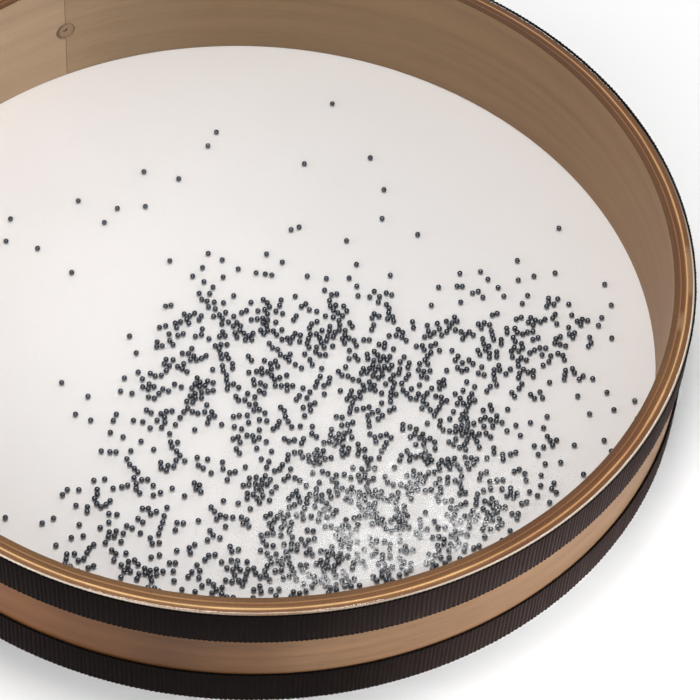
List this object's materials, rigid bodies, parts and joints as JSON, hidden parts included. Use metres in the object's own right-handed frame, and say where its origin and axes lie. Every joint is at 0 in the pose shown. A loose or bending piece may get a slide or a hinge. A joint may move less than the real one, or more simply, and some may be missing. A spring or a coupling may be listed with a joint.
{
  "type": "wave drum",
  "caption": "Flat round wave drum: steel shot rolls between a clear top head and a white bottom head, on a bent wooden hoop bound with black ribbon.",
  "frame": {"origin": "centre of the bottom head's lower face, the face that the drum rests on", "axes": "+Z along the drum's axis, from the white bottom head to the clear top head; the picture looks along +Y from above, with +X to its right"},
  "size_m": [0.508, 0.508, 0.0806],
  "materials": {
    "hoop_wood": "clear satin lacquer on bent beech ply",
    "bung_wood": "bare turned wood, end grain showing",
    "pin_brass": "dull",
    "clear_film": "clear glossy polyester film",
    "white_film": "white satin polyester film",
    "ribbon": "ribbed woven black ribbon",
    "shot_steel": "polished blue-black steel balls"
  },
  "bodies": {
    "drum": {"inner_ply": "hoop_wood", "core_ply": "hoop_wood", "outer_ply": "hoop_wood", "top_head": "clear_film", "bottom_head": "white_film", "upper_ribbon": "ribbon", "lower_ribbon": "ribbon", "fill_bung": "bung_wood", "bung_pin": "pin_brass"},
    "loose_charge": {"loose_shot_01": "shot_steel", "loose_shot_02": "shot_steel", "loose_shot_03": "shot_steel", "loose_shot_04": "shot_steel", "loose_shot_05": "shot_steel", "loose_shot_06": "shot_steel", "loose_shot_07": "shot_steel", "loose_shot_08": "shot_steel", "loose_shot_09": "shot_steel", "loose_shot_10": "shot_steel"},
    "crowd_charge": {"crowd_shot_01": "shot_steel", "crowd_shot_02": "shot_steel", "crowd_shot_03": "shot_steel", "crowd_shot_04": "shot_steel", "crowd_shot_05": "shot_steel", "crowd_shot_06": "shot_steel", "crowd_shot_07": "shot_steel", "crowd_shot_08": "shot_steel", "crowd_shot_09": "shot_steel", "crowd_shot_10": "shot_steel", "crowd_shot_11": "shot_steel", "crowd_shot_12": "shot_steel", "crowd_shot_13": "shot_steel", "crowd_shot_14": "shot_steel", "crowd_shot_15": "shot_steel", "crowd_shot_16": "shot_steel", "crowd_shot_17": "shot_steel", "crowd_shot_18": "shot_steel", "crowd_shot_19": "shot_steel", "crowd_shot_20": "shot_steel", "crowd_shot_21": "shot_steel", "crowd_shot_22": "shot_steel", "crowd_shot_23": "shot_steel", "crowd_shot_24": "shot_steel", "crowd_shot_25": "shot_steel", "crowd_shot_26": "shot_steel"},
    "roller_01": {"rolling_shot_01": "shot_steel"},
    "roller_02": {"rolling_shot_02": "shot_steel"},
    "roller_03": {"rolling_shot_03": "shot_steel"},
    "roller_04": {"rolling_shot_04": "shot_steel"},
    "roller_05": {"rolling_shot_05": "shot_steel"},
    "roller_06": {"rolling_shot_06": "shot_steel"},
    "roller_07": {"rolling_shot_07": "shot_steel"},
    "roller_08": {"rolling_shot_08": "shot_steel"},
    "roller_09": {"rolling_shot_09": "shot_steel"},
    "roller_10": {"rolling_shot_10": "shot_steel"},
    "roller_11": {"rolling_shot_11": "shot_steel"},
    "roller_12": {"rolling_shot_12": "shot_steel"}
  },
  "joints": [
    {"name": "swirl", "type": "hinge", "parent": "drum", "child": "loose_charge", "pos_m": [0, 0, 0.00225], "axis": [0, 0, 1], "continuous": true},
    {"name": "wave", "type": "slide", "parent": "loose_charge", "child": "crowd_charge", "axis": [0, 1, 0], "range_m": [0, 0.05]},
    {"name": "roll_01", "type": "slide", "parent": "loose_charge", "child": "roller_01", "axis": [0, 1, 0], "range_m": [-0.029, 0.029]},
    {"name": "roll_02", "type": "slide", "parent": "loose_charge", "child": "roller_02", "axis": [0, 1, 0], "range_m": [-0.029, 0.038]},
    {"name": "roll_03", "type": "slide", "parent": "loose_charge", "child": "roller_03", "axis": [0, 1, 0], "range_m": [-0.024, 0.029]},
    {"name": "roll_04", "type": "slide", "parent": "loose_charge", "child": "roller_04", "axis": [0, 1, 0], "range_m": [-0.019, 0.038]},
    {"name": "roll_05", "type": "slide", "parent": "loose_charge", "child": "roller_05", "axis": [0, 1, 0], "range_m": [-0.014, 0.038]},
    {"name": "roll_06", "type": "slide", "parent": "loose_charge", "child": "roller_06", "axis": [0, 1, 0], "range_m": [-0.024, 0.033]},
    {"name": "roll_07", "type": "slide", "parent": "loose_charge", "child": "roller_07", "axis": [0, 1, 0], "range_m": [-0.009, 0.038]},
    {"name": "roll_08", "type": "slide", "parent": "loose_charge", "child": "roller_08", "axis": [0, 1, 0], "range_m": [-0.024, 0.038]},
    {"name": "roll_09", "type": "slide", "parent": "loose_charge", "child": "roller_09", "axis": [0, 1, 0], "range_m": [-0.019, 0.038]},
    {"name": "roll_10", "type": "slide", "parent": "loose_charge", "child": "roller_10", "axis": [0, 1, 0], "range_m": [-0.012, 0.038]},
    {"name": "roll_11", "type": "slide", "parent": "loose_charge", "child": "roller_11", "axis": [0, 1, 0], "range_m": [-0.024, 0.033]},
    {"name": "roll_12", "type": "slide", "parent": "loose_charge", "child": "roller_12", "axis": [0, 1, 0], "range_m": [-0.024, 0.024]}
  ]
}
